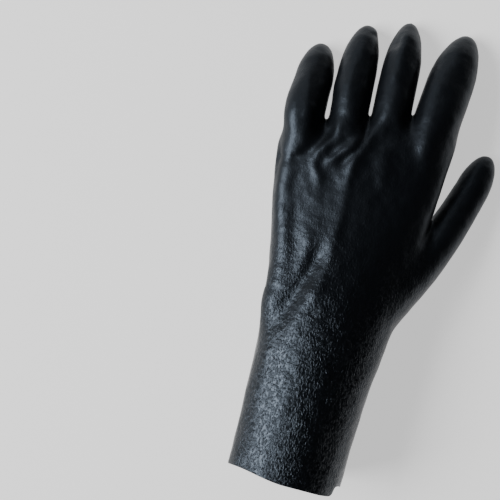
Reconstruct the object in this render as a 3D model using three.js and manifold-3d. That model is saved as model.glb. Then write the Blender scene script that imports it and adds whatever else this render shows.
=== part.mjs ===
// A PVC coated work glove for the left hand, lying palm down on a table with its cuff open.
// The real glove is one skin: a knit liner dipped in vinyl, so it is one thin hollow wall. The wall is divided at
// the wrist and at the root of each digit, so that every piece is a plain tube that collides with its hollow open.
// Across is x, towards the thumb. Along is y, from the hem to the fingertips. Up is z, the back of the hand.
import * as THREE from "three";
import { mergeVertices } from "three/addons/utils/BufferGeometryUtils.js";
import Module from "manifold-3d";

// Driving dimensions, in millimetres and degrees.
const CUFF_LENGTH = 118; // hem to wrist
const HEM_WIDTH = 73.5;
const HEM_HEIGHT = 69;
const HEM_STEP = 4.2; // how much longer the hand-cut hem is at its longest
const WRIST_WIDTH = 88;
const WRIST_HEIGHT = 54;
const PALM_LENGTH = 116.5; // wrist to the web between the two middle fingers
const PALM_WIDTH = 111; // across the knuckles
const PALM_HEIGHT = 36;
const WEB_SLANT = 15.6; // the webs step back from the index finger to the little one
const WEB_DROP = 3; // how far the palm's middle sinks towards the webs
const WALL = 1.5; // vinyl and bonded knit together
const TABLE_PRESS = 0.8; // how far the soft underside is pressed flat where it rests
const WRIST_LIFT = 5; // underside above the table at the wrist
const KNUCKLE_LIFT = 8;
const TIP_LIFT = 3.5; // centre line of each digit above the table, at its tip
const FINGER_RAY = 40; // how far each finger's form reaches back into the palm
const THUMB_RAY = 21;
const FINGER_WIDTH = 25.4;
const LITTLE_WIDTH = 25.9;
const INDEX_WIDTH = 31;
const THUMB_WIDTH = 24;
const FINGER_HEIGHT = 24;
const LITTLE_HEIGHT = 22.5;
const INDEX_HEIGHT = 25;
const THUMB_HEIGHT = 22;
const LITTLE_LENGTH = 52.5; // web to tip, as the others
const RING_LENGTH = 65;
const MIDDLE_LENGTH = 69;
const INDEX_LENGTH = 68.5;
const THUMB_LENGTH = 114; // heel to tip
const FOLD_RISE = 3.2; // height of the tallest fold on the back of the hand
const DIVIDE_GAP = 0.3; // between neighbouring pieces
const FINGER_DIVIDE = 2.3; // from the web line to where the fingers' own pieces begin

// How fine the mesh is.
const BODY_SIDES = 42;
const CUFF_RINGS = 12;
const PALM_RINGS = 14; // from the wrist to where the palm begins to close
const WEB_RINGS = 5; // in the rounding at the webs
const DIGIT_SIDES = 16;
const DIGIT_RINGS = 13;
const SPINE_STEPS = 12;
const TIP_RADIUS = 0.05;
const MERGE = 1e-4;

// The cuff from the hem, at 0, to the wrist, at 1. flare and fall run from the hem's width and height to the
// wrist's, lift from the pressed underside to the wrist's. offset is the middle, in shares of WRIST_WIDTH.
const CUFF_SECTIONS = [
  { at: 0, flare: 0, fall: 0, lift: 0, offset: -0.01 },
  { at: 0.25, flare: 0.047, fall: 0.11, lift: 0.06, offset: -0.0025 },
  { at: 0.5, flare: 0.218, fall: 0.33, lift: 0.25, offset: 0.005 },
  { at: 0.75, flare: 0.531, fall: 0.63, lift: 0.56, offset: 0.0125 },
  { at: 1, flare: 1, fall: 1, lift: 1, offset: 0.02 },
];

// The palm from the wrist, at 0, to the web line, at 1. spread and thin run from the wrist's width and height
// to the palm's, lift from the wrist's to the knuckles'. offset is the middle, in shares of PALM_WIDTH, and
// square is the section's exponent, where 2 is an ellipse.
const PALM_SECTIONS = [
  { at: 0.0, spread: 0.0, thin: 0.0, lift: 0.0, offset: 0.0158, square: 2.05 },
  { at: 0.2, spread: 0.23, thin: 0.34, lift: 0.2, offset: 0.009, square: 2.25 },
  { at: 0.5, spread: 0.67, thin: 0.7, lift: 0.5, offset: -0.003, square: 2.45 },
  { at: 0.8, spread: 0.95, thin: 1.0, lift: 0.9, offset: -0.011, square: 2.6 },
  { at: 1.0, spread: 1.0, thin: 1.2, lift: 1.1, offset: -0.012, square: 2.5 },
];
const WEB_START = 0.84; // where the palm begins to close towards the webs, as a share of its length
const WEB_EDGE = 0.42; // height of the web's own edge, as a share of the palm's there
const WEB_NARROWING = 0.1; // how much narrower the palm is at the webs, as a share

// The hem's extra length round the cuff, in shares of HEM_STEP. turn is 0 at the thumb side and 90 on top.
const HEM_CUT = [
  { turn: 0, extra: -0.45 },
  { turn: 26, extra: -0.8 },
  { turn: 30, extra: 0.4 },
  { turn: 42, extra: 0.6 },
  { turn: 75, extra: 0.3 },
  { turn: 100, extra: 0.2 },
  { turn: 143, extra: -0.4 },
  { turn: 180, extra: 0.0 },
  { turn: 270, extra: -0.25 },
  { turn: 360, extra: -0.45 },
];
const HEM_REACH = 0.3; // share of the cuff over which the hem's shape fades

// A digit's forms. Along it, at runs from -1, where its ray starts inside the palm, past its root, at 0, to its
// tip, at 1. width and height are shares of its own. capWidth and capHeight are where the rounded end begins,
// in plan and from the side.
const FINGER_FORM = {
  roundHeel: false,
  capWidth: 0.46,
  capHeight: 0.62,
  rows: [
    { at: -1, width: 0.7, height: 1.0 },
    { at: -0.4, width: 0.92, height: 1.34 },
    { at: 0, width: 0.98, height: 1.26 },
    { at: 0.43, width: 1.0, height: 1.0 },
    { at: 1, width: 0.98, height: 0.86 },
  ],
};
const THUMB_FORM = {
  roundHeel: true,
  capWidth: 0.8,
  capHeight: 0.8,
  rows: [
    { at: -1, width: 1.2, height: 1.65 },
    { at: 0, width: 1.2, height: 1.65 },
    { at: 0.3, width: 1.12, height: 1.4 },
    { at: 0.6, width: 1.0, height: 1.02 },
    { at: 0.8, width: 0.94, height: 0.94 },
    { at: 1, width: 0.88, height: 0.88 },
  ],
};
const FINGER_LEVEL = KNUCKLE_LIFT + 0.47 * PALM_HEIGHT; // centre line of a finger at its root
const THUMB_LEVEL = WRIST_LIFT + 0.33 * WRIST_HEIGHT;
const CURL = 1.5; // how late a digit bends down to the table, as an exponent

// The digits. across and along place the root, in shares of PALM_WIDTH and PALM_LENGTH. aim is the heading
// inside the palm, splay at the root, and bend is what is added up to the tip, in degrees towards the thumb.
const FINGER = { form: FINGER_FORM, ray: FINGER_RAY, level: FINGER_LEVEL };
const DIGITS = [
  {
    ...FINGER, name: "little", length: LITTLE_LENGTH, width: LITTLE_WIDTH, height: LITTLE_HEIGHT,
    across: -0.401, along: 0.925, aim: -7, splay: -1, bend: 4,
  },
  {
    ...FINGER, name: "ring", length: RING_LENGTH, width: FINGER_WIDTH, height: FINGER_HEIGHT,
    across: -0.151, along: 0.985, aim: -4, splay: -5, bend: 10,
  },
  {
    ...FINGER, name: "middle", length: MIDDLE_LENGTH, width: FINGER_WIDTH, height: FINGER_HEIGHT,
    across: 0.088, along: 1.02, aim: 1, splay: -1, bend: 1,
  },
  {
    ...FINGER, name: "index", length: INDEX_LENGTH, width: INDEX_WIDTH, height: INDEX_HEIGHT,
    across: 0.352, along: 1.04, aim: 6, splay: 4, bend: 9,
  },
  {
    form: THUMB_FORM, ray: THUMB_RAY, level: THUMB_LEVEL,
    name: "thumb", length: THUMB_LENGTH, width: THUMB_WIDTH, height: THUMB_HEIGHT,
    across: 0.354, along: 0.085, aim: 33, splay: 30, bend: -17,
  },
];

// Where the thumb's own piece begins: from the fork outwards, in shares of PALM_WIDTH and PALM_LENGTH, across a
// thumb that heads this many degrees outwards there.
const THUMB_DIVIDE = { across: 0.495, along: 0.661, heading: 17, reach: 0.4 };

// Folds on the back of the hand, as lines of [across, along] in shares of PALM_WIDTH and PALM_LENGTH from
// the wrist. reach is the half width in shares of PALM_WIDTH, rise the height in shares of FOLD_RISE.
const FOLDS = [
  { name: "little web valley", rise: -1.0, reach: 0.045, line: [[-0.29, 0.92], [-0.36, 0.77], [-0.46, 0.66]] },
  { name: "ring knuckle ridge", rise: 0.5, reach: 0.045, line: [[-0.23, 0.9], [-0.29, 0.8], [-0.32, 0.72]] },
  { name: "knuckle valley", rise: -0.5, reach: 0.045, line: [[-0.05, 0.92], [-0.12, 0.8], [-0.26, 0.74]] },
  {
    name: "long ridge", rise: 1.0, reach: 0.045,
    line: [[0.02, 1.05], [-0.04, 0.9], [-0.095, 0.72], [-0.07, 0.5], [-0.08, 0.2], [-0.12, -0.02]],
  },
  { name: "side groove", rise: -0.7, reach: 0.05, line: [[-0.37, 0.62], [-0.36, 0.4], [-0.3, 0.14]] },
  { name: "wrist valley", rise: -0.9, reach: 0.05, line: [[-0.13, 0.16], [-0.21, 0.04], [-0.3, -0.12]] },
];
const FOLD_FACING = 0.35; // a fold is at its full height where the surface is this far up its section
const BACK_CROWDING = 0.3; // how far the body's mesh is denser on the back of the hand

const { lerp, degToRad, radToDeg, clamp, smoothstep } = THREE.MathUtils;
const UP = new THREE.Vector3(0, 0, 1);

const wasm = await Module();
wasm.setup();

function solidOf(geometry) {
  const bare = geometry.clone();
  bare.deleteAttribute("normal");
  bare.deleteAttribute("uv");
  const merged = mergeVertices(bare, MERGE);
  return new wasm.Manifold(
    new wasm.Mesh({
      numProp: 3,
      vertProperties: merged.attributes.position.array,
      triVerts: new Uint32Array(merged.index.array),
    }),
  );
}

function geometryOf(solid) {
  const mesh = solid.getMesh();
  const geometry = new THREE.BufferGeometry();
  geometry.setAttribute("position", new THREE.BufferAttribute(mesh.vertProperties, 3));
  geometry.setIndex(new THREE.BufferAttribute(mesh.triVerts, 1));
  return geometry;
}

// One column of a table at any place between its rows, on a smooth curve through them.
function columnAt(rows, place, key, value) {
  const last = rows.length - 1;
  const x = clamp(value, rows[0][place], rows[last][place]);
  let i = 0;
  while (i < last - 1 && rows[i + 1][place] < x) i += 1;
  const slopeAt = (j) => {
    const before = rows[Math.max(j - 1, 0)];
    const after = rows[Math.min(j + 1, last)];
    return (after[key] - before[key]) / (after[place] - before[place]);
  };
  const span = rows[i + 1][place] - rows[i][place];
  const t = (x - rows[i][place]) / span;
  const t2 = t * t;
  const t3 = t2 * t;
  return (
    (2 * t3 - 3 * t2 + 1) * rows[i][key] +
    (t3 - 2 * t2 + t) * span * slopeAt(i) +
    (3 * t2 - 2 * t3) * rows[i + 1][key] +
    (t3 - t2) * span * slopeAt(i + 1)
  );
}

// A closed solid through rings that all have as many points, with both ends closed by a fan.
function loft(rings) {
  const sides = rings[0].length;
  const points = rings.flat();
  const faces = [];
  for (let r = 0; r + 1 < rings.length; r += 1) {
    for (let s = 0; s < sides; s += 1) {
      const a = r * sides + s;
      const b = r * sides + ((s + 1) % sides);
      faces.push(a, b, b + sides, a, b + sides, a + sides);
    }
  }
  for (const [ring, isLast] of [[0, false], [rings.length - 1, true]]) {
    const centre = new THREE.Vector3();
    rings[ring].forEach((p) => centre.addScaledVector(p, 1 / sides));
    points.push(centre);
    for (let s = 0; s < sides; s += 1) {
      const a = ring * sides + s;
      const b = ring * sides + ((s + 1) % sides);
      faces.push(...(isLast ? [a, b, points.length - 1] : [b, a, points.length - 1]));
    }
  }
  const geometry = new THREE.BufferGeometry().setFromPoints(points);
  geometry.setIndex(faces);
  return geometry;
}

function distanceToLine(x, y, line) {
  let nearest = Infinity;
  for (let i = 0; i + 1 < line.length; i += 1) {
    const [ax, ay] = [line[i][0] * PALM_WIDTH, line[i][1] * PALM_LENGTH];
    const [bx, by] = [line[i + 1][0] * PALM_WIDTH, line[i + 1][1] * PALM_LENGTH];
    const [dx, dy] = [bx - ax, by - ay];
    const t = clamp(((x - ax) * dx + (y - ay) * dy) / (dx * dx + dy * dy), 0, 1);
    nearest = Math.min(nearest, Math.hypot(x - ax - t * dx, y - ay - t * dy));
  }
  return nearest;
}

// How far the folds raise the back of the hand at a place in plan, measured from the wrist.
function foldRise(x, y) {
  let rise = 0;
  for (const fold of FOLDS) {
    const share = distanceToLine(x, y, fold.line) / (fold.reach * PALM_WIDTH);
    rise += fold.rise * FOLD_RISE * Math.exp(-share * share);
  }
  return rise;
}

// One ring of the cuff and palm. yAt gives a point's place along the hand from its x and its turn.
function bodyRing({ middle, width, level, height, square, yAt }, inset) {
  const round = (v) => Math.sign(v) * Math.abs(v) ** (2 / square);
  const ring = [];
  for (let s = 0; s < BODY_SIDES; s += 1) {
    const even = (s / BODY_SIDES) * 2 * Math.PI;
    const turn = even + BACK_CROWDING * Math.cos(even);
    const up = round(Math.sin(turn));
    const x = middle + round(Math.cos(turn)) * (width / 2 - inset);
    const y = yAt(x, (radToDeg(turn) + 360) % 360);
    const fold = foldRise(x, y - CUFF_LENGTH) * smoothstep(up, 0, FOLD_FACING);
    ring.push(new THREE.Vector3(x, y, level + up * (height / 2 - inset) + fold));
  }
  return ring.reverse();
}

function cuffSection(at) {
  const within = Math.max(at, 0);
  const column = (key) => columnAt(CUFF_SECTIONS, "at", key, within);
  const height = lerp(HEM_HEIGHT, WRIST_HEIGHT, column("fall"));
  const fade = 1 - smoothstep(within, 0, HEM_REACH);
  return {
    middle: column("offset") * WRIST_WIDTH,
    width: lerp(HEM_WIDTH, WRIST_WIDTH, column("flare")),
    level: lerp(-TABLE_PRESS, WRIST_LIFT, column("lift")) + height / 2,
    height,
    square: 2,
    yAt: (x, turn) => at * CUFF_LENGTH - fade * HEM_STEP * columnAt(HEM_CUT, "turn", "extra", turn),
  };
}

function palmSection(at, inset) {
  const column = (key) => columnAt(PALM_SECTIONS, "at", key, at);
  const closing = Math.max(0, (at - WEB_START) / (1 - WEB_START));
  const height = lerp(WRIST_HEIGHT, PALM_HEIGHT, column("thin"));
  const slim = Math.sqrt(1 - (1 - WEB_EDGE * WEB_EDGE) * closing * closing);
  const slant = Math.tan(degToRad(WEB_SLANT)) * at * at;
  return {
    middle: column("offset") * PALM_WIDTH,
    width: lerp(WRIST_WIDTH, PALM_WIDTH, column("spread")) * (1 - WEB_NARROWING * closing * closing),
    level: lerp(WRIST_LIFT, KNUCKLE_LIFT, column("lift")) + height / 2 - WEB_DROP * closing,
    height: height * slim,
    square: column("square"),
    yAt: (x) => CUFF_LENGTH + at * (PALM_LENGTH - inset) + slant * x,
  };
}

// Cuff and palm in one loft. inset is 0 for the outside, and the wall for the hollow, which runs out past the hem.
function body(inset) {
  const rings = [];
  for (let r = inset > 0 ? -1 : 0; r < CUFF_RINGS; r += 1) {
    rings.push(bodyRing(cuffSection(r / CUFF_RINGS), inset));
  }
  for (let r = 0; r < PALM_RINGS; r += 1) {
    rings.push(bodyRing(palmSection((WEB_START * r) / PALM_RINGS, inset), inset));
  }
  for (let r = 0; r <= WEB_RINGS; r += 1) {
    const turned = (r / WEB_RINGS) * (Math.PI / 2);
    rings.push(bodyRing(palmSection(lerp(WEB_START, 1, Math.sin(turned)), inset), inset));
  }
  return solidOf(loft(rings));
}

// The centre line of a digit, from inside the palm to the tip.
function spine(digit) {
  const heel = degToRad(digit.aim);
  const place = new THREE.Vector3(digit.across * PALM_WIDTH, CUFF_LENGTH + digit.along * PALM_LENGTH, digit.level);
  const back = new THREE.Vector3(-Math.sin(heel), -Math.cos(heel), 0).multiplyScalar(digit.ray / 2);
  const points = [place.clone().addScaledVector(back, 2), place.clone().add(back), place.clone()];
  for (let i = 1; i <= SPINE_STEPS; i += 1) {
    const heading = degToRad(digit.splay + digit.bend * ((i - 0.5) / SPINE_STEPS));
    place.x += (Math.sin(heading) * digit.length) / SPINE_STEPS;
    place.y += (Math.cos(heading) * digit.length) / SPINE_STEPS;
    place.z = lerp(digit.level, TIP_LIFT, (i / SPINE_STEPS) ** CURL);
    points.push(place.clone());
  }
  return new THREE.CatmullRomCurve3(points, false, "centripetal");
}

function digitSolid(digit, inset) {
  const { form } = digit;
  const curve = spine(digit);
  const whole = curve.getLength();
  const own = whole - digit.ray;
  const end = 1 - inset / own;
  const rounded = (at, start) => Math.sqrt(1 - clamp((at - start) / (end - start), 0, 1) ** 2);
  const rings = [];
  for (let r = 0; r <= DIGIT_RINGS; r += 1) {
    const even = lerp(-1, 1, r / DIGIT_RINGS);
    const at = even < 0 ? even : end * Math.sin(even * (Math.PI / 2));
    const u = clamp((digit.ray + at * (at < 0 ? digit.ray : own)) / whole, 0, 1);
    const heel = form.roundHeel && at < 0 ? Math.sqrt(1 - at * at) : 1;
    const column = (key) => columnAt(form.rows, "at", key, at);
    const halfWidth = ((digit.width / 2) * column("width") - inset) * heel * rounded(at, form.capWidth);
    const halfHeight = ((digit.height / 2) * column("height") - inset) * heel * rounded(at, form.capHeight);
    const centre = curve.getPointAt(u);
    const tangent = curve.getTangentAt(u);
    const side = new THREE.Vector3().crossVectors(tangent, UP).normalize();
    const up = new THREE.Vector3().crossVectors(side, tangent);
    const ring = [];
    for (let s = 0; s < DIGIT_SIDES; s += 1) {
      const turn = (s / DIGIT_SIDES) * 2 * Math.PI;
      const point = centre.clone();
      point.addScaledVector(side, Math.max(halfWidth, TIP_RADIUS) * Math.cos(turn));
      point.addScaledVector(up, Math.max(halfHeight, TIP_RADIUS) * Math.sin(turn));
      ring.push(point);
    }
    rings.push(ring.reverse());
  }
  return solidOf(loft(rings));
}

// Cuff, palm and digits joined, and cut off flat at a floor.
function handForm(inset, floor) {
  let form = body(inset);
  for (const digit of DIGITS) form = form.add(digitSolid(digit, inset));
  const reach = 4 * (CUFF_LENGTH + PALM_LENGTH);
  const below = new THREE.BoxGeometry(reach, reach, reach);
  below.translate(0, 0, floor - reach / 2);
  return form.subtract(solidOf(below));
}

function largestPieces(solid, count) {
  return solid
    .decompose()
    .sort((a, b) => b.volume() - a.volume())
    .slice(0, count);
}

// The two sides of a solid at an upright plane through a place, with the gap between them.
function dividedAt(solid, [x, y], heading) {
  const along = [Math.sin(heading), Math.cos(heading), 0];
  const back = along.map((part) => -part);
  const offset = along[0] * x + along[1] * y;
  const nearer = solid.trimByPlane(back, DIVIDE_GAP / 2 - offset);
  const farther = solid.trimByPlane(along, DIVIDE_GAP / 2 + offset);
  return [largestPieces(nearer, 1)[0], farther];
}

function thumbSlit() {
  const reach = THUMB_DIVIDE.reach * PALM_WIDTH;
  const slit = new THREE.BoxGeometry(reach, DIVIDE_GAP, 4 * WRIST_HEIGHT);
  slit.translate(reach / 2, 0, 0);
  slit.rotateZ(-degToRad(THUMB_DIVIDE.heading));
  slit.translate(THUMB_DIVIDE.across * PALM_WIDTH, CUFF_LENGTH + THUMB_DIVIDE.along * PALM_LENGTH, 0);
  return solidOf(slit);
}

// The wall is what is left between the outer form and the hollow. A cut can leave slivers without volume, so
// only the largest pieces are kept.
function glovePieces() {
  const [wall] = largestPieces(handForm(0, 0).subtract(handForm(WALL, WALL)), 1);
  const [cuff, hand] = dividedAt(wall, [0, CUFF_LENGTH], 0);
  const [rest, thumb] = largestPieces(hand.subtract(thumbSlit()), 2);
  const webs = [0, CUFF_LENGTH + PALM_LENGTH + FINGER_DIVIDE];
  const [palm, tips] = dividedAt(rest, webs, -degToRad(WEB_SLANT));
  const fingers = DIGITS.filter((digit) => digit.form === FINGER_FORM);
  const stalls = largestPieces(tips, fingers.length);
  stalls.sort((a, b) => a.boundingBox().min[0] - b.boundingBox().min[0]);
  const pieces = [["cuff", cuff], ["palm", palm], ["thumb_stall", thumb]];
  fingers.forEach((finger, i) => pieces.push([`${finger.name}_stall`, stalls[i]]));
  return { pieces, bounds: wall.boundingBox() };
}

function gloveGroup() {
  const { pieces, bounds } = glovePieces();
  const { min, max } = bounds;
  const vinyl = new THREE.MeshStandardMaterial({ color: 0x14161b, roughness: 0.45, metalness: 0 });
  const group = new THREE.Group();
  for (const [name, solid] of pieces) {
    const geometry = geometryOf(solid);
    geometry.translate(-(min[0] + max[0]) / 2, -(min[1] + max[1]) / 2, -min[2]);
    geometry.computeVertexNormals();
    const mesh = new THREE.Mesh(geometry, vinyl);
    mesh.name = name;
    group.add(mesh);
  }
  return group;
}

export default gloveGroup();
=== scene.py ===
import math
from typing import NamedTuple

import bmesh
import bpy
import numpy as np
import openvdb
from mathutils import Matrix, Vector, noise


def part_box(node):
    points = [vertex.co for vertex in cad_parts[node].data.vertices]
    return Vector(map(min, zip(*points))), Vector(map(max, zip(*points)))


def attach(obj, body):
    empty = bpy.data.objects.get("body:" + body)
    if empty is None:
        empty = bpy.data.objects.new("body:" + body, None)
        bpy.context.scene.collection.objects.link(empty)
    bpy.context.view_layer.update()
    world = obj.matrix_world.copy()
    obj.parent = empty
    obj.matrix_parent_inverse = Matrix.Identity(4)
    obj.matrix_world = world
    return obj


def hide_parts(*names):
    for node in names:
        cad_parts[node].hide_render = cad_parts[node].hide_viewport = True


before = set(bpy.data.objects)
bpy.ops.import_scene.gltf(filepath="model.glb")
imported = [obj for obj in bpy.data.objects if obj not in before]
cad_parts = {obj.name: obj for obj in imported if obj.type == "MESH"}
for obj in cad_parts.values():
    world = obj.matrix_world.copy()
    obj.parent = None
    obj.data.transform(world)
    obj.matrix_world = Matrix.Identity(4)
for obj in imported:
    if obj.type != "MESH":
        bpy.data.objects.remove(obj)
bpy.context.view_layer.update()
PIECES = ("cuff", "palm", "thumb_stall", "little_stall", "ring_stall", "middle_stall", "index_stall")
GLOVE_LOW = Vector(min(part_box(name)[0][axis] for name in PIECES) for axis in range(3))
MM = 0.001

# Sizes of the glove, as the solid has them
CUFF_LENGTH = 118.0
HEM_WIDTH = 73.5
HEM_HEIGHT = 69.0
HEM_STEP = 4.2  # scale of the hem's unevenness
WRIST_WIDTH = 88.0
WRIST_HEIGHT = 54.0
PALM_LENGTH = 116.5
PALM_WIDTH = 111.0
PALM_HEIGHT = 36.0
WEB_SLANT = math.radians(15.6)  # the row of webs slants away from the wrist towards the thumb's side
WEB_DROP = 3.0  # how far the palm's closed end sinks
WALL = 1.5
TABLE_PRESS = 0.8  # how far the table flattens the cuff at the hem
WRIST_LIFT = 5.0  # height of the underside over the table at the wrist
KNUCKLE_LIFT = 8.0  # and at the knuckles
TIP_LIFT = 3.5  # height of each digit's tip over the table
HEM_FORWARD = 2.5  # how far the hem's longest place lies in front of y = 0
LITTLE_SIDE = 57.5  # how far the little finger's side lies from x = 0

# The cuff from the hem, at 0, to the wrist, at 1. flare, fall and lift are shares of the change in width,
# height and height over the table; offset is in shares of WRIST_WIDTH towards the thumb.
CUFF = {
    "at": [0, 0.25, 0.5, 0.75, 1],
    "flare": [0, 0.047, 0.218, 0.531, 1],
    "fall": [0, 0.11, 0.33, 0.63, 1],
    "lift": [0, 0.06, 0.25, 0.56, 1],
    "offset": [-0.01, -0.0025, 0.005, 0.0125, 0.02],
}
HEM_OVERRUN = 0.12  # how far the form runs on past the hem before it is cut off, in cuff lengths
CUFF_END = 0.98  # the cuff's last ring, just short of the palm's first
# The palm from the wrist, at 0, to the webs, at 1. spread, thin and lift are shares of the change in width,
# height and height over the table; offset is in shares of PALM_WIDTH. A section is round at square 2, and
# squarer above.
PALM = {
    "at": [0, 0.2, 0.5, 0.8, 1],
    "spread": [0, 0.23, 0.67, 0.95, 1],
    "thin": [0, 0.34, 0.7, 1.0, 1.2],
    "lift": [0, 0.2, 0.5, 0.9, 1.1],
    "offset": [0.0158, 0.009, -0.003, -0.011, -0.012],
    "square": [2.05, 2.25, 2.45, 2.6, 2.5],
}
WEB_START = 0.84  # where the palm starts to close between the fingers
WEB_EDGE = 0.42  # share of the palm's height that its closed end keeps
WEB_NARROWING = 0.1  # share of its width that it loses
# The hem's uneven cut: degrees round the cuff from the thumb's side, and what is left on there, in shares of
# HEM_STEP
HEM_CUT = {
    "turn": [0, 26, 30, 42, 75, 100, 143, 180, 270, 360],
    "extra": [-0.45, -0.8, 0.4, 0.6, 0.3, 0.2, -0.4, 0.0, -0.25, -0.45],
}
HEM_REACH = 0.3  # how far up the cuff the cut's unevenness is taken up, in cuff lengths
# A digit from the start of its ray in the palm, at -1, past its root, at 0, to its tip, at 1. width and
# height are shares of the digit's own. The tip is rounded from cap_width in plan and from cap_height in the
# side view, and round_heel rounds the start of the ray.
FINGER = {
    "at": [-1, -0.4, 0, 0.43, 1],
    "width": [0.7, 0.92, 0.98, 1.0, 0.98],
    "height": [1.0, 1.34, 1.26, 1.0, 0.86],
    "cap_width": 0.46,
    "cap_height": 0.62,
    "round_heel": False,
}
THUMB = {
    "at": [-1, 0, 0.3, 0.6, 0.8, 1],
    "width": [1.2, 1.2, 1.12, 1.0, 0.94, 0.88],
    "height": [1.65, 1.65, 1.4, 1.02, 0.94, 0.88],
    "cap_width": 0.8,
    "cap_height": 0.8,
    "round_heel": True,
}
FINGER_LEVEL = KNUCKLE_LIFT + 0.47 * PALM_HEIGHT  # the fingers' rays run just below half the palm's height
THUMB_LEVEL = WRIST_LIFT + 0.33 * WRIST_HEIGHT  # the thumb's runs a third of the way up the wrist
CURL = 1.5  # more than 1 lets a digit run level at first and dip towards its tip


class Digit(NamedTuple):
    """A finger or the thumb. Its turns are in degrees, towards the thumb's side."""
    form: dict
    ray: float  # how far its ray reaches back into the palm
    level: float  # height of the ray over the table
    length: float  # from its root to its tip
    width: float
    height: float
    across: float  # place of its root, in shares of PALM_WIDTH from the middle
    along: float  # and in shares of PALM_LENGTH from the wrist
    aim: float  # turn of the ray
    splay: float  # turn of the digit at its root
    bend: float  # how much further it turns on the way to its tip


DIGITS = {
    "little": Digit(FINGER, 40, FINGER_LEVEL, 52.5, 25.9, 22.5, -0.401, 0.925, -7, -1, 4),
    "ring": Digit(FINGER, 40, FINGER_LEVEL, 65, 25.4, 24, -0.151, 0.985, -4, -5, 10),
    "middle": Digit(FINGER, 40, FINGER_LEVEL, 69, 25.4, 24, 0.088, 1.02, 1, -1, 1),
    "index": Digit(FINGER, 40, FINGER_LEVEL, 68.5, 31, 25, 0.352, 1.04, 6, 4, 9),
    "thumb": Digit(THUMB, 21, THUMB_LEVEL, 114, 24, 22, 0.354, 0.085, 33, 30, -17),
}
FINGER_BLEND = 1.2  # width of the fillet between two fingers
PALM_BLEND = 6.0  # and between the fingers and the palm
THUMB_BLEND = (10.0, 3.0)  # and at the thumb, at its heel and in its fork
THUMB_FORK = (150, 188)  # the thumb's fillet narrows between these places along the hand

# How finely the forms are made
BODY_SIDES = 72
CUFF_RINGS = 40
PALM_RINGS = 40
WEB_RINGS = 14
DIGIT_SIDES = 40
RAY_RINGS = 24
DIGIT_RINGS = 40
RAY_STEPS = 20
SPINE_STEPS = 60
POINT = 0.05  # half width of a digit's last ring
VOXEL = 1.5  # size of a cell in the fields that the forms are blended in
BAND = 8  # cells on each side of a form where its distance is known
FIELD_LOW = (-69, -19.5, -10.5)  # the fields cover the glove with some room round it
FIELD_HIGH = (96, 315, 81)
FIELD_START = tuple(math.floor(low / VOXEL) for low in FIELD_LOW)
FIELD_SHAPE = tuple(math.ceil(high / VOXEL) - start + 1 for high, start in zip(FIELD_HIGH, FIELD_START))
SMOOTHING_ROUNDS = 2  # these take the cells' steps out of the mesh

# The back falls to the little finger's side from one long crest
BACK_FALL = 3.4
BACK_FALL_REACH = 12.5
BACK_CREST_ROUND = 1.5  # how far from the crest the fall is rounded
BACK_CREST_FADE = (40, 35)  # the fall starts over this much of the crest at the fingers and at the wrist
BACK_CREST = [
    (-11, 236), (-8.5, 214), (-7, 203), (-7, 186), (-7, 170), (-7, 157),
    (-7.5, 147), (-8, 139), (-9, 129), (-11, 119), (-13, 108), (-16, 96),
]


class Fold(NamedTuple):
    """A ridge of the back, or a valley where its rise is below 0."""
    rise: float
    little_reach: float  # how far it spreads to the little finger's side
    thumb_reach: float  # and to the thumb's
    taper: float  # over how much of its length each end fades
    line: list  # its crest or bed in plan


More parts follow.
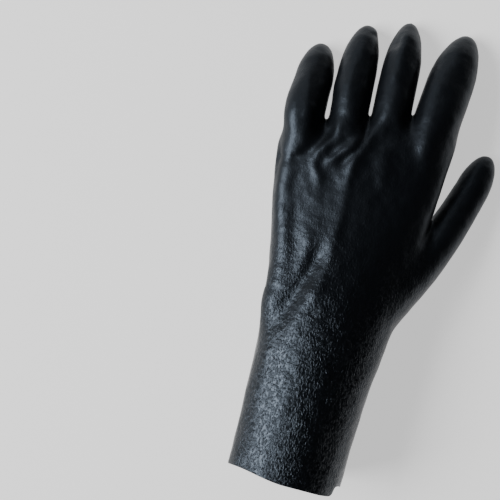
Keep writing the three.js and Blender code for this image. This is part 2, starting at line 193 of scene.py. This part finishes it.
FOLDS = {
    "knuckle crest": Fold(0.9, 3.0, 3.8, 20, [
        (10.5, 246), (4.5, 241), (1.5, 234), (-1, 224.5), (-3.5, 216), (-5, 210), (-7.5, 203.5), (-9, 196),
        (-9.5, 186),
    ]),
    "crest hollow": Fold(-1.6, 6, 8, 12, [(17, 240), (12.5, 234), (8.5, 223.5), (2, 213)]),
    "little web valley": Fold(-1.3, 3.6, 3.6, 7, [
        (-26.5, 226), (-28.5, 221), (-34, 211), (-38.5, 204), (-44, 199), (-49, 194),
    ]),
    "ring knuckle ridge": Fold(1.2, 3.6, 3.2, 8, [
        (-23.5, 234), (-22, 223), (-22.5, 218), (-26.5, 212), (-30.5, 206), (-32, 200.5), (-30.5, 195.5),
        (-27, 191), (-23.5, 186),
    ]),
    "small ridge": Fold(0.9, 3.0, 2.4, 13, [
        (-6.5, 234), (-6.5, 225), (-7, 218.5), (-11, 213.5), (-16.5, 209), (-21, 203.5), (-24.5, 199),
        (-25, 194),
    ]),
    "knuckle valley": Fold(-1.0, 2.6, 2.6, 6, [(-11, 222), (-17, 214.5), (-21, 209), (-26.5, 203)]),
    "crest valley": Fold(-1.3, 2.5, 2.5, 8, [(-4, 232), (-5, 219), (-8, 211.5), (-13, 205), (-19, 198)]),
    "middle tendon": Fold(0.9, 5, 5, 9, [(10, 222), (10.5, 217), (12, 208), (13, 197), (13.5, 190)]),
    "index knuckle": Fold(0.3, 5, 5, 9, [(32.5, 248), (33, 237), (34.5, 225), (36, 214)]),
    "hem shoulder": Fold(2.0, 6, 8, 45, [
        (-33, 100), (-34, 75), (-34.5, 50), (-34.5, 25), (-34, 0), (-34, -50),
    ]),
    "wrist valley": Fold(-2.2, 4.8, 6.5, 20, [
        (-12, 156), (-14.5, 146), (-17.5, 136), (-21, 124), (-25.5, 111), (-31, 98), (-34, 86),
    ]),
    "wrist hollow": Fold(-1.5, 8, 7, 24, [
        (-24, 137), (-25.5, 126), (-28, 113), (-30.5, 100), (-32, 88), (-33, 72),
    ]),
    "little ridge": Fold(0.8, 4, 3, 12, [(-50, 264), (-48.5, 253), (-46, 244), (-43.5, 233), (-42, 222)]),
    "ring ridge": Fold(0.7, 4, 3, 12, [(-22.5, 275), (-22.5, 263), (-22, 253), (-21, 242)]),
    "middle tip ridge": Fold(1.1, 3.2, 5, 10, [
        (8.5, 303.5), (8, 296.5), (6.5, 288), (5.5, 280), (5.5, 270.5), (5, 258.5),
    ]),
    "middle tip dent": Fold(-1.6, 3.8, 3.2, 12, [(4, 299.5), (2, 294), (1, 285.5), (0.5, 277.5)]),
    "index shoulder": Fold(1.2, 4, 8, 14, [
        (36, 212), (33.5, 225), (30, 239), (29.5, 252), (31, 266), (34.5, 281),
    ]),
    "ring tip nub": Fold(0.8, 2.8, 2.8, 1.5, [(-13, 291), (-12.5, 295), (-11.5, 299)]),
    "little root ridge": Fold(1.0, 5, 4, 18, [
        (-46.5, 245), (-43.5, 234.5), (-41, 225), (-41.5, 213), (-41.5, 203.5),
    ]),
    "side edge": Fold(3.4, 7, 8.3, 38, [
        (-53.5, 214), (-53, 203), (-52, 190), (-50.5, 180), (-49, 171), (-47, 160), (-44.5, 147), (-42, 134),
        (-40, 120), (-38.5, 106), (-37.5, 90), (-37, 68),
    ]),
    "side groove": Fold(-0.5, 3.5, 5, 14, [
        (-42, 196), (-41, 184), (-38, 168), (-34.5, 153), (-31, 140), (-28.5, 131),
    ]),
    "little shoulder": Fold(2.6, 5, 7.5, 30, [
        (-54, 262), (-55, 252), (-55, 243), (-55, 232), (-53.5, 215.5), (-52.5, 202), (-51.5, 192.5),
    ]),
    "long ridge": Fold(0.4, 7, 3, 25, BACK_CREST),
    "back swelling": Fold(0.8, 4, 7, 14, [(-29, 163), (-25, 154.5), (-22.5, 146), (-24, 135)]),
}
FOLD_FACING = 0.4  # a fold has its full height where the surface's normal points up by this much
UNEVENNESS = ((23, 0.5), (8.5, 0.22))  # size and height of the soft waves that a dipped skin has all over
TABLE_FADE = 3.0  # folds and waves fade out this near the table

# The coat of the cuff is coarse and that of the hand smooth, and one runs out into the other between two
# places along the glove
COAT_FADE = (85, 175)
HAND_COARSENESS = 0.22  # share of the cuff's relief that the hand's coat still has
CUFF_ROUGHNESS = 0.3
HAND_ROUGHNESS = 0.43
# The coarse coat's grain is about 0.6 mm, as fine as a pixel of the picture, so its flecks are drawn twice
# as coarse to show
FLECK_SIZE = 1.15
FLECK_HEIGHT = 0.33
FLECK_STRETCH = (1, 0.55, 1)  # a fleck is almost twice as long along the glove as round it
FLECK_LEVELS = (0.46, 0.86)  # the part of the grain that stands up from the ground between the flecks
# Crinkles and ripples as wide as those that show on the real coat
CRINKLE_SIZE = 3.6
CRINKLE_HEIGHT = 0.5
CRINKLE_STRETCH = (0.5, 1, 0.5)  # a crinkle is twice as wide round the glove as along it
RIPPLE_SIZE = 9.0
RIPPLE_HEIGHT = 0.7
# The knit's stitches are about 1 mm and its nap 0.2 mm, so both are drawn coarser than they are, to show
STITCH_SIZE = 1.5
STITCH_DEPTH = 0.5
STITCH_STRETCH = (1, 0.7, 1)  # a stitch is longer along the glove
NAP_SIZE = 0.8
NAP_HEIGHT = 0.3

# The photograph's view: straight down, with the glove leaning to the right
LEAN = math.radians(14.3)
CAMERA_HEIGHT = 900.0
PICTURE_WIDTH = 332.75  # of the table
PICTURE_CENTRE = (-57.3, 134.6)
SENSOR = 36.0

# The stage, in metres and watts
FLOOR_REACH = 4.0
FLOOR_GAP = 0.0002  # keeps the floor clear of the palm
SOFTBOX_SIZE = (2.0, 1.2)
# Each softbox's place by the picture from the glove's middle, as right, up and height, and its power
SOFTBOXES = {"key": (-2.1, 0.1, 1.65, 165), "top": (-0.6, 2.4, 1.2, 10)}
DAYLIGHT = (0.9, 0.95, 1.0, 1)  # a trace of cool light from all sides, in linear RGBA
DAYLIGHT_STRENGTH = 0.01


def curve(table, key, value, place="at"):
    """One column of a table at any places between its rows, on a smooth curve through them."""
    x, y = np.asarray(table[place], float), np.asarray(table[key], float)
    slope = np.gradient(y, x, edge_order=1)
    slope[1:-1] = (y[2:] - y[:-2]) / (x[2:] - x[:-2])
    value = np.clip(value, x[0], x[-1])
    row = np.clip(np.searchsorted(x, value) - 1, 0, len(x) - 2)
    span = x[row + 1] - x[row]
    t = (value - x[row]) / span
    rise = (3 * t**2 - 2 * t**3) * (y[row + 1] - y[row]) + y[row]
    return rise + (t**3 - 2 * t**2 + t) * span * slope[row] + (t**3 - t**2) * span * slope[row + 1]


def smoothstep(low, high, value):
    t = np.clip((value - low) / (high - low), 0, 1)
    return t * t * (3 - 2 * t)


def lerp(a, b, t):
    return a + (b - a) * t


def section(square):
    """Points round a superellipse in the unit square: 2 is round, more is squarer."""
    turn = np.linspace(0, 2 * np.pi, BODY_SIDES, endpoint=False)
    side, up = np.cos(turn), np.sin(turn)
    power = 2 / square
    return np.sign(side) * np.abs(side) ** power, np.sign(up) * np.abs(up) ** power


def cuff_rings():
    rings = []
    for at in np.linspace(-HEM_OVERRUN, CUFF_END, CUFF_RINGS):
        inside = max(at, 0.0)
        side, up = section(2)
        width = lerp(HEM_WIDTH, WRIST_WIDTH, curve(CUFF, "flare", inside))
        height = lerp(HEM_HEIGHT, WRIST_HEIGHT, curve(CUFF, "fall", inside))
        level = lerp(-TABLE_PRESS, WRIST_LIFT, curve(CUFF, "lift", inside)) + height / 2
        x = curve(CUFF, "offset", inside) * WRIST_WIDTH + side * width / 2
        rings.append(np.stack([x, np.full_like(x, at * CUFF_LENGTH), level + up * height / 2], 1))
    return rings


def palm_rings():
    rings = []
    open_part = np.linspace(0, WEB_START, PALM_RINGS, endpoint=False)
    closing_part = WEB_START + (1 - WEB_START) * np.sin(np.linspace(0, np.pi / 2, WEB_RINGS))
    for at in np.concatenate([open_part, closing_part]):
        closing = max(0.0, (at - WEB_START) / (1 - WEB_START))
        side, up = section(curve(PALM, "square", at))
        width = lerp(WRIST_WIDTH, PALM_WIDTH, curve(PALM, "spread", at))
        width *= 1 - WEB_NARROWING * closing**2
        height = lerp(WRIST_HEIGHT, PALM_HEIGHT, curve(PALM, "thin", at))
        lift = lerp(WRIST_LIFT, KNUCKLE_LIFT, curve(PALM, "lift", at))
        level = lift + height / 2 - WEB_DROP * closing
        slim = math.sqrt(1 - (1 - WEB_EDGE**2) * closing**2)
        x = curve(PALM, "offset", at) * PALM_WIDTH + side * width / 2
        y = CUFF_LENGTH + at * PALM_LENGTH + math.tan(WEB_SLANT) * at**2 * x
        rings.append(np.stack([x, y, level + up * slim * height / 2], 1))
    return rings


def spine(digit):
    """Places along a digit's middle line, and where each lies between the ray's start, -1, and the tip, 1."""
    share = (np.arange(1, SPINE_STEPS + 1)) / SPINE_STEPS
    heading = np.radians(digit.splay + digit.bend * (share - 0.5 / SPINE_STEPS))
    root = np.array([digit.across * PALM_WIDTH, CUFF_LENGTH + digit.along * PALM_LENGTH])
    outer = np.stack([
        root[0] + np.cumsum(np.sin(heading)) * digit.length / SPINE_STEPS,
        root[1] + np.cumsum(np.cos(heading)) * digit.length / SPINE_STEPS,
        lerp(digit.level, TIP_LIFT, share**CURL),
    ], 1)
    back = np.linspace(-1, 0, RAY_STEPS)
    aim = math.radians(digit.aim)
    ray = root + back[:, None] * digit.ray * [math.sin(aim), math.cos(aim)]
    inner = np.hstack([ray, np.full((RAY_STEPS, 1), digit.level)])
    return np.vstack([inner, outer]), np.concatenate([back, share])


def cap(at, start):
    """The rounding of a tip: 1 up to where it starts, and down to 0 at the end."""
    return np.sqrt(1 - np.clip((at - start) / (1 - start), 0, 1) ** 2)


def digit_rings(digit):
    form = digit.form
    places, place_at = spine(digit)
    ray_part = np.linspace(-1, 0, RAY_RINGS, endpoint=False)
    at = np.concatenate([ray_part, np.sin(np.linspace(0, np.pi / 2, DIGIT_RINGS))])
    centre = np.stack([np.interp(at, place_at, places[:, axis]) for axis in range(3)], 1)
    ahead = np.gradient(centre, axis=0)
    ahead /= np.linalg.norm(ahead, axis=1)[:, None]
    side = np.cross(ahead, [0, 0, 1])
    side /= np.linalg.norm(side, axis=1)[:, None]
    up = np.cross(side, ahead)
    heel = np.sqrt(1 - np.minimum(at, 0) ** 2) if form["round_heel"] else 1.0
    half_width = digit.width / 2 * curve(form, "width", at) * heel * cap(at, form["cap_width"])
    half_height = digit.height / 2 * curve(form, "height", at) * heel * cap(at, form["cap_height"])
    turn = np.linspace(0, 2 * np.pi, DIGIT_SIDES, endpoint=False)
    across = side[:, None] * (np.maximum(half_width, POINT)[:, None] * np.cos(turn))[..., None]
    upward = up[:, None] * (np.maximum(half_height, POINT)[:, None] * np.sin(turn))[..., None]
    return centre[:, None] + across + upward


def field_of(rings):
    """The distance to a closed form that runs through rings of points, in every cell of the field."""
    count, sides = rings.shape[:2]
    points = np.vstack([rings.reshape(-1, 3), rings[0].mean(0), rings[-1].mean(0)])
    first_centre, last_centre = count * sides, count * sides + 1
    ring, side = np.meshgrid(np.arange(count - 1), np.arange(sides), indexing="ij")
    here, beside_it = ring * sides + side, ring * sides + (side + 1) % sides
    quads = np.stack([here, beside_it, beside_it + sides, here + sides], -1).reshape(-1, 4)
    side = np.arange(sides)
    next_side = (side + 1) % sides
    last = (count - 1) * sides
    first_fan = np.stack([np.full(sides, first_centre), next_side, side], 1)
    last_fan = np.stack([np.full(sides, last_centre), last + side, last + next_side], 1)
    grid = openvdb.FloatGrid.createLevelSetFromPolygons(
        points=points.astype(np.float32),
        triangles=np.vstack([first_fan, last_fan]).astype(np.uint32),
        quads=quads.astype(np.uint32),
        transform=openvdb.createLinearTransform(voxelSize=VOXEL),
        halfWidth=BAND,
    )
    field = np.empty(FIELD_SHAPE, np.float32)
    grid.copyToArray(field, ijk=FIELD_START)
    return field


def cell_places(axis):
    return (np.arange(FIELD_SHAPE[axis]) + FIELD_START[axis]) * VOXEL


def blend(a, b, width):
    """Two forms joined with a fillet about that wide."""
    near = np.clip(width - np.abs(a - b), 0, None) / width
    return np.minimum(a, b) - near**2 * width / 4


def hand_field():
    """Cuff, palm, fingers and thumb as one form, flat where it rests on the table."""
    body = field_of(np.array(cuff_rings() + palm_rings()))
    digits = {name: field_of(digit_rings(digit)) for name, digit in DIGITS.items()}
    fingers = digits["little"]
    for name in ("ring", "middle", "index"):
        fingers = blend(fingers, digits[name], FINGER_BLEND)
    hand = blend(body, fingers, PALM_BLEND)
    fork = smoothstep(THUMB_FORK[0], THUMB_FORK[1], cell_places(1))
    thumb_width = lerp(THUMB_BLEND[0], THUMB_BLEND[1], fork)[None, :, None]
    hand = blend(hand, digits["thumb"], thumb_width)
    below_table = -cell_places(2)[None, None, :]
    return np.maximum(hand, below_table).astype(np.float32)


def form_mesh():
    """The hand's form as a closed mesh with its steps smoothed out."""
    grid = openvdb.FloatGrid(BAND * VOXEL)
    grid.transform = openvdb.createLinearTransform(voxelSize=VOXEL)
    grid.copyFromArray(hand_field(), ijk=FIELD_START)
    points, quads = grid.convertToQuads(isovalue=0.0)
    mesh = bpy.data.meshes.new("glove")
    mesh.from_pydata(points.astype(float).tolist(), [], quads.astype(int).tolist())
    b = bmesh.new()
    b.from_mesh(mesh)
    for _ in range(SMOOTHING_ROUNDS):
        bmesh.ops.smooth_vert(
            b, verts=b.verts, factor=0.5, use_axis_x=True, use_axis_y=True, use_axis_z=True
        )
    for v in b.verts:
        v.co.z = max(v.co.z, 0.0)
    bmesh.ops.recalc_face_normals(b, faces=b.faces)
    b.to_mesh(mesh)
    b.free()
    return mesh


def beside(line, x, y):
    """How far places in plan lie from a line, on which side, and how far along it; and the line's length."""
    nearest, side, along = np.full_like(x, np.inf), np.zeros_like(x), np.zeros_like(x)
    done = 0.0
    for (ax, ay), (bx, by) in zip(line, line[1:]):
        dx, dy = bx - ax, by - ay
        length = math.hypot(dx, dy)
        t = np.clip(((x - ax) * dx + (y - ay) * dy) / length**2, 0, 1)
        away_x, away_y = x - ax - t * dx, y - ay - t * dy
        distance = np.hypot(away_x, away_y)
        closer = distance < nearest
        nearest = np.where(closer, distance, nearest)
        side = np.where(closer, away_x, side)
        along = np.where(closer, done + t * length, along)
        done += length
    return nearest, side, along, done


def faded_ends(along, length, first, last):
    return smoothstep(0, first, along) * smoothstep(0, last, length - along)


def fold_rise(x, y):
    """How far the crest's fall and the folds lift the back of the hand, at places in plan."""
    nearest, side, along, length = beside(BACK_CREST, x, y)
    down = np.hypot(np.where(side < 0, nearest, 0), BACK_CREST_ROUND) - BACK_CREST_ROUND
    ends = faded_ends(along, length, *BACK_CREST_FADE)
    total = -BACK_FALL * ends * (1 - np.exp(-down / BACK_FALL_REACH))
    for fold in FOLDS.values():
        nearest, side, along, length = beside(fold.line, x, y)
        reach = np.where(side < 0, fold.little_reach, fold.thumb_reach)
        ends = faded_ends(along, length, fold.taper, fold.taper)
        total += fold.rise * ends * np.exp(-((nearest / reach) ** 2))
    return total


def vertex_values(mesh, name):
    """The vertices' co or normal, a row for each."""
    flat = np.empty(len(mesh.vertices) * 3)
    mesh.vertices.foreach_get(name, flat)
    return flat.reshape(-1, 3)


def raise_folds(mesh):
    places, normals = vertex_values(mesh, "co"), vertex_values(mesh, "normal")
    lift = fold_rise(places[:, 0], places[:, 1]) * smoothstep(0.0, FOLD_FACING, normals[:, 2])
    for size, height in UNEVENNESS:
        lift += [height * noise.noise(Vector(place) / size) for place in places]
    lift *= smoothstep(0.0, TABLE_FADE, places[:, 2])
    mesh.vertices.foreach_set("co", (places + normals * lift[:, None]).ravel())


def hem_extra(places):
    """How far the uneven hem moves the cuff there along the glove."""
    turn = np.degrees(np.arctan2(places[:, 2] - HEM_HEIGHT / 2, places[:, 0])) % 360
    fade = 1 - smoothstep(0, HEM_REACH * CUFF_LENGTH, places[:, 1])
    return fade * HEM_STEP * curve(HEM_CUT, "extra", turn, "turn")


def cut_hem(mesh):
    """Opens the cuff with a straight cut, made while the cuff is stretched by its uneven hem."""
    places = vertex_values(mesh, "co")
    places[:, 1] += hem_extra(places)
    mesh.vertices.foreach_set("co", places.ravel())
    b = bmesh.new()
    b.from_mesh(mesh)
    everything = list(b.verts) + list(b.edges) + list(b.faces)
    bmesh.ops.bisect_plane(
        b, geom=everything, plane_co=(0, 0, 0), plane_no=(0, -1, 0), clear_outer=True
    )
    b.to_mesh(mesh)
    b.free()
    places = vertex_values(mesh, "co")
    places[:, 1] -= hem_extra(places)
    mesh.vertices.foreach_set("co", places.ravel())


def to_row(places):
    """Hand millimetres to the frame's metres."""
    origin = np.array([GLOVE_LOW.x, GLOVE_LOW.y, GLOVE_LOW.z])
    return (np.asarray(places) + [LITTLE_SIDE, HEM_FORWARD, 0]) * MM + origin


def outer_skin():
    """The glove's outer skin in the frame's metres, open at the hem."""
    mesh = form_mesh()
    raise_folds(mesh)
    cut_hem(mesh)
    mesh.vertices.foreach_set("co", to_row(vertex_values(mesh, "co")).ravel())
    mesh.update()
    return mesh


def linear(hex_colour):
    """An sRGB hex colour as linear RGBA."""
    parts = [int(hex_colour[i : i + 2], 16) / 255 for i in (1, 3, 5)]
    return [p / 12.92 if p <= 0.04045 else ((p + 0.055) / 1.055) ** 2.4 for p in parts] + [1.0]


def add(tree, kind, settings=None, links=()):
    """A shader node with its settings, by input or property, and its links as (input, node, output)."""
    node = tree.nodes.new(kind)
    for name, value in (settings or {}).items():
        if name in node.inputs:
            node.inputs[name].default_value = value
        else:
            setattr(node, name, value)
    for socket, source, output in links:
        tree.links.new(source.outputs[output], node.inputs[socket])
    return node


def new_material(name):
    material = bpy.data.materials.new(name)
    material.use_nodes = True
    material.node_tree.nodes.clear()
    return material, material.node_tree


# Vinyl dipped as a liquid over the knit and fused by heat. It gives a near-black skin with a low, slightly
# blue shine: sparkling flecks and crinkles on the cuff, where the coat was roughened, and long soft lights
# on the hand.
def dipped_black_pvc():
    material, tree = new_material("dipped_black_pvc")
    place = add(tree, "ShaderNodeTexCoord")
    parts = add(tree, "ShaderNodeSeparateXYZ", {}, [("Vector", place, "Object")])
    cuff_end, hand_start = (to_row((0, y, 0))[1] for y in COAT_FADE)
    coarseness = add(tree, "ShaderNodeMapRange", {
        "From Min": cuff_end, "From Max": hand_start, "To Min": 1.0, "To Max": HAND_COARSENESS,
    }, [("Value", parts, "Y")])
    roughness = add(tree, "ShaderNodeMapRange", {
        "From Min": cuff_end, "From Max": hand_start, "To Min": CUFF_ROUGHNESS, "To Max": HAND_ROUGHNESS,
    }, [("Value", parts, "Y")])

    grain_place = add(tree, "ShaderNodeMapping", {"Scale": FLECK_STRETCH}, [("Vector", place, "Object")])
    grain = add(tree, "ShaderNodeTexNoise", {
        "Scale": 1 / (FLECK_SIZE * MM), "Detail": 2.0, "Roughness": 0.6,
    }, [("Vector", grain_place, "Vector")])
    flecks = add(tree, "ShaderNodeMapRange", {
        "From Min": FLECK_LEVELS[0], "From Max": FLECK_LEVELS[1],
    }, [("Value", grain, "Fac")])
    crinkle_place = add(tree, "ShaderNodeMapping", {"Scale": CRINKLE_STRETCH}, [("Vector", place, "Object")])
    crinkles = add(tree, "ShaderNodeTexNoise", {
        "Scale": 1 / (CRINKLE_SIZE * MM), "Detail": 1.0, "Roughness": 0.5,
    }, [("Vector", crinkle_place, "Vector")])
    ripples = add(tree, "ShaderNodeTexNoise", {
        "Scale": 1 / (RIPPLE_SIZE * MM), "Detail": 1.0, "Roughness": 0.5,
    }, [("Vector", place, "Object")])

    coat_crinkles = add(tree, "ShaderNodeMath", {"operation": "MULTIPLY"}, [
        (0, crinkles, "Fac"), (1, coarseness, "Result"),
    ])
    coat_flecks = add(tree, "ShaderNodeMath", {"operation": "MULTIPLY"}, [
        (0, flecks, "Result"), (1, coarseness, "Result"),
    ])
    flecked = add(tree, "ShaderNodeBump", {"Strength": 1.0, "Distance": FLECK_HEIGHT * MM}, [
        ("Height", coat_flecks, "Value"),
    ])
    crinkled = add(tree, "ShaderNodeBump", {"Strength": 1.0, "Distance": CRINKLE_HEIGHT * MM}, [
        ("Height", coat_crinkles, "Value"), ("Normal", flecked, "Normal"),
    ])
    rippled = add(tree, "ShaderNodeBump", {"Strength": 1.0, "Distance": RIPPLE_HEIGHT * MM}, [
        ("Height", ripples, "Fac"), ("Normal", crinkled, "Normal"),
    ])

    vinyl = add(tree, "ShaderNodeBsdfPrincipled", {
        "Base Color": linear("#060709"),
        "IOR": 1.5,
        "Specular IOR Level": 0.3,
        "Specular Tint": linear("#d6e9ff"),
    }, [("Normal", rippled, "Normal"), ("Roughness", roughness, "Result")])
    add(tree, "ShaderNodeOutputMaterial", {}, [("Surface", vinyl, "BSDF")])
    return material


# A cotton knit bonded to the inside of the vinyl. It gives a dull charcoal lining of small loops, which shows
# in the cuff's mouth.
def bonded_knit():
    material, tree = new_material("bonded_cotton_knit")
    place = add(tree, "ShaderNodeTexCoord")
    stitch_place = add(tree, "ShaderNodeMapping", {"Scale": STITCH_STRETCH}, [("Vector", place, "Object")])
    stitches = add(tree, "ShaderNodeTexVoronoi", {
        "Scale": 1 / (STITCH_SIZE * MM), "Randomness": 0.4,
    }, [("Vector", stitch_place, "Vector")])
    nap = add(tree, "ShaderNodeTexNoise", {
        "Scale": 1 / (NAP_SIZE * MM), "Detail": 3.0, "Roughness": 0.7,
    }, [("Vector", place, "Object")])
    shade = add(tree, "ShaderNodeMix", {"data_type": "RGBA"}, [(0, stitches, "Distance")])
    shade.inputs[6].default_value = linear("#504f49")  # a stitch's middle
    shade.inputs[7].default_value = linear("#2c2b28")  # the gap between two
    loops = add(tree, "ShaderNodeBump", {
        "Strength": 1.0, "Distance": STITCH_DEPTH * MM, "invert": True,
    }, [("Height", stitches, "Distance")])
    fuzz = add(tree, "ShaderNodeBump", {"Strength": 0.6, "Distance": NAP_HEIGHT * MM}, [
        ("Height", nap, "Fac"), ("Normal", loops, "Normal"),
    ])
    cotton = add(tree, "ShaderNodeBsdfPrincipled", {"Roughness": 0.95, "Sheen Weight": 0.2}, [
        ("Normal", fuzz, "Normal"), ("Base Color", shade, 2),
    ])
    add(tree, "ShaderNodeOutputMaterial", {}, [("Surface", cotton, "BSDF")])
    return material


# Matt photographer's paper. It gives an even pale ground without a highlight, which glows a little, so that
# the shadows on it stay faint.
def pale_paper():
    material, tree = new_material("pale_paper")
    paper = add(tree, "ShaderNodeBsdfPrincipled", {
        "Base Color": linear("#b4b4b4"),
        "Roughness": 0.9,
        "Specular IOR Level": 0.0,
        "Emission Color": linear("#ffffff"),
        "Emission Strength": 0.8,
    })
    add(tree, "ShaderNodeOutputMaterial", {}, [("Surface", paper, "BSDF")])
    return material


def new_object(name, data):
    thing = bpy.data.objects.new(name, data)
    bpy.context.scene.collection.objects.link(thing)
    return thing


def make_glove():
    glove = new_object("glove", outer_skin())
    glove.data.materials.append(dipped_black_pvc())
    glove.data.materials.append(bonded_knit())
    wall = glove.modifiers.new("wall", "SOLIDIFY")
    wall.thickness = WALL * MM
    wall.offset = -1
    wall.material_offset = 1
    glove.data.shade_smooth()
    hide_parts(*PIECES)
    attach(glove, "root")


def make_camera():
    data = bpy.data.cameras.new("camera")
    data.sensor_width = SENSOR
    data.lens = SENSOR * CAMERA_HEIGHT / PICTURE_WIDTH
    camera = new_object("camera", data)
    camera.location = to_row((*PICTURE_CENTRE, CAMERA_HEIGHT))
    camera.rotation_euler = (0, 0, LEAN)
    bpy.context.scene.camera = camera


def make_floor():
    mesh = bpy.data.meshes.new("floor")
    corners = [(x * FLOOR_REACH, y * FLOOR_REACH, 0) for x, y in ((-1, -1), (1, -1), (1, 1), (-1, 1))]
    mesh.from_pydata(corners, [], [(0, 1, 2, 3)])
    mesh.materials.append(pale_paper())
    floor = new_object("floor", mesh)
    floor.location.z = GLOVE_LOW.z - FLOOR_GAP


def make_softbox(name, right, up, height, power):
    """A softbox that points at the glove's middle."""
    data = bpy.data.lights.new(name, "AREA")
    data.shape = "RECTANGLE"
    data.size, data.size_y = SOFTBOX_SIZE
    data.energy = power
    lamp = new_object(name, data)
    picture_right = Vector((math.cos(LEAN), math.sin(LEAN), 0))
    picture_up = Vector((-math.sin(LEAN), math.cos(LEAN), 0))
    lamp.location = picture_right * right + picture_up * up + Vector((0, 0, height))
    lamp.rotation_euler = (-lamp.location).to_track_quat("-Z", "Y").to_euler()


def make_daylight():
    world = bpy.data.worlds.new("studio")
    world.use_nodes = True
    background = world.node_tree.nodes["Background"]
    background.inputs["Color"].default_value = DAYLIGHT
    background.inputs["Strength"].default_value = DAYLIGHT_STRENGTH
    bpy.context.scene.world = world


make_camera()
make_glove()
make_floor()
make_daylight()
for name, facts in SOFTBOXES.items():
    make_softbox(name, *facts)
